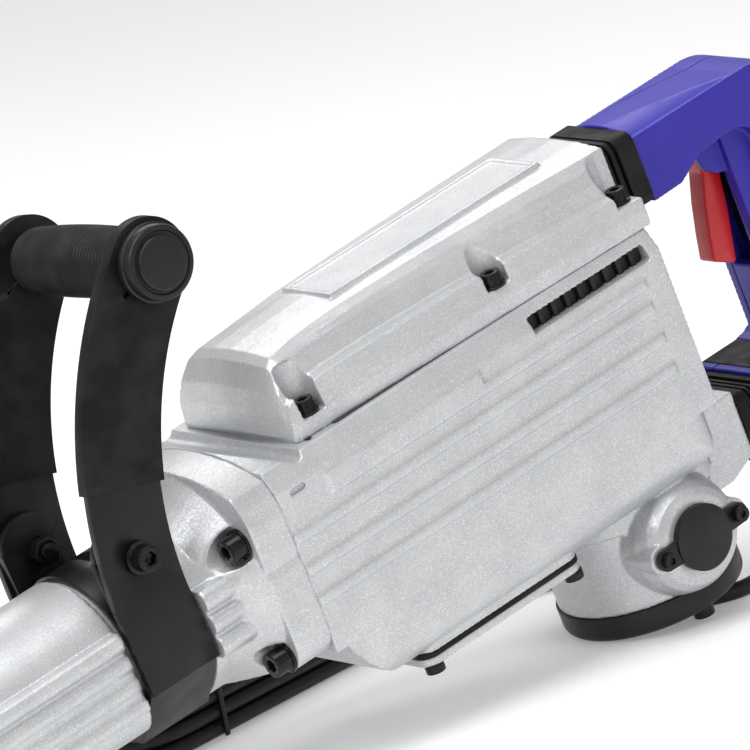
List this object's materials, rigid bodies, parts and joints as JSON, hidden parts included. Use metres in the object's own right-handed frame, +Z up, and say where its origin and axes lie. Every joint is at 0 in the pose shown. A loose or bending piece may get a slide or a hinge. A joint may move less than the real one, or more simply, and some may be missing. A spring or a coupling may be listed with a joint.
{
  "type": "electric demolition hammer",
  "caption": "Electric demolition hammer with a hex chisel socket, swinging side handle and rear D handle with trigger",
  "frame": {"origin": "centre of the tool's footprint on the floor, without the cord", "axes": "+X from the nose to the rear handle, +Y towards the hank of cord, +Z up"},
  "size_m": [0.7482, 0.2431, 0.2913],
  "materials": {
    "cast_silver": "cast, painted silver with a fine sparkle",
    "machined_steel": "machined",
    "black_steel": "satin black",
    "oxide_steel": "black oxide, oiled",
    "black_rubber": "matt",
    "blue_plastic": "gloss",
    "red_plastic": "gloss",
    "black_plastic": "satin",
    "brass": "machined",
    "copper": "machined",
    "carbon": "pressed",
    "cord_sheath": "smooth"
  },
  "bodies": {
    "housing": {"cylinder_case": "cast_silver", "gear_case": "cast_silver", "gear_cover": "cast_silver", "base_plate": "cast_silver", "base_gasket": "black_rubber", "tail_cover": "black_plastic", "front_cover": "cast_silver", "nose_ring": "black_steel", "tool_sleeve": "machined_steel", "case_screws": "oxide_steel", "cover_screws": "oxide_steel", "base_screws": "oxide_steel", "tail_screws": "oxide_steel", "front_screws": "oxide_steel", "brush_covers": "black_plastic", "brush_cover_screws": "oxide_steel", "brush_holders": "brass", "carbon_brushes": "carbon", "stator": "machined_steel", "motor_plate": "cast_silver", "gear_plate": "cast_silver", "ball_bearings": "machined_steel", "cylinder_liner": "machined_steel", "handle_shell": "blue_plastic", "handle_cover": "blue_plastic", "arm_wrap": "black_rubber", "upper_boot": "black_rubber", "lower_boot": "black_rubber", "lower_bracket": "cast_silver", "handle_bolts": "machined_steel", "trigger_pin": "machined_steel", "switch_unit": "black_plastic", "cord_guard": "black_rubber", "cord": "cord_sheath", "cord_hank": "cord_sheath", "cord_tail": "cord_sheath", "cord_tie": "black_plastic", "plug_body": "black_plastic", "plug_pins": "machined_steel"},
    "side_handle": {"handle_strap": "black_steel", "strap_saddle": "black_steel", "clamp_bolts": "oxide_steel", "clamp_nuts": "oxide_steel", "arm_sleeves": "black_rubber", "grip_rod": "machined_steel", "side_grip": "black_rubber", "grip_caps": "black_plastic"},
    "trigger": {"trigger": "red_plastic"},
    "retainer": {"retainer_pin": "machined_steel", "retainer_lever": "black_steel"},
    "armature": {"armature": "machined_steel", "commutator": "copper", "cooling_fan": "black_plastic"},
    "idler": {"idler_gear": "machined_steel"},
    "crank": {"crank_gear": "machined_steel"},
    "piston": {"piston": "machined_steel", "piston_pin": "machined_steel"},
    "rod": {"connecting_rod": "machined_steel"},
    "striker": {"striker": "machined_steel"},
    "impact_bolt": {"impact_bolt": "machined_steel"}
  },
  "joints": [
    {"name": "side_handle_swing", "type": "hinge", "parent": "housing", "child": "side_handle", "pos_m": [-0.08891, -0.0081, 0.08811], "axis": [0.9802, 0, 0.1982], "range_deg": [-50, 50]},
    {"name": "trigger_pull", "type": "hinge", "parent": "housing", "child": "trigger", "pos_m": [0.29855, -0.0081, 0.21541], "axis": [0, -1, 0], "range_deg": [0, 8], "stiffness_Nm_per_rad": 1.5, "springref_deg": -5.73},
    {"name": "retainer_turn", "type": "hinge", "parent": "housing", "child": "retainer", "pos_m": [-0.33086, -0.0081, 0.05858], "axis": [0, -1, 0], "range_deg": [0, 180]},
    {"name": "armature_spin", "type": "hinge", "parent": "housing", "child": "armature", "pos_m": [0.19534, -0.0081, 0.14557], "axis": [-0.1982, 0, 0.9802], "continuous": true},
    {"name": "idler_spin", "type": "hinge", "parent": "housing", "child": "idler", "pos_m": [0.138, -0.0081, 0.13398], "axis": [-0.1982, 0, 0.9802], "continuous": true},
    {"name": "crank_spin", "type": "hinge", "parent": "housing", "child": "crank", "pos_m": [0.08066, -0.0081, 0.12239], "axis": [-0.1982, 0, 0.9802], "continuous": true},
    {"name": "piston_slide", "type": "slide", "parent": "housing", "child": "piston", "axis": [0.9802, 0, 0.1982], "range_m": [-0.036, 0]},
    {"name": "rod_swing", "type": "hinge", "parent": "piston", "child": "rod", "pos_m": [0.00616, -0.0081, 0.10733], "axis": [-0.1982, 0, 0.9802], "range_deg": [-12, 12]},
    {"name": "striker_slide", "type": "slide", "parent": "housing", "child": "striker", "axis": [0.9802, 0, 0.1982], "range_m": [-0.028, 0]},
    {"name": "impact_bolt_slide", "type": "slide", "parent": "housing", "child": "impact_bolt", "axis": [0.9802, 0, 0.1982], "range_m": [-0.008, 0]}
  ],
  "couplings": [
    {"joint": "idler_spin", "follows": "armature_spin", "ratio": -0.18182},
    {"joint": "crank_spin", "follows": "armature_spin", "ratio": 0.054545}
  ]
}
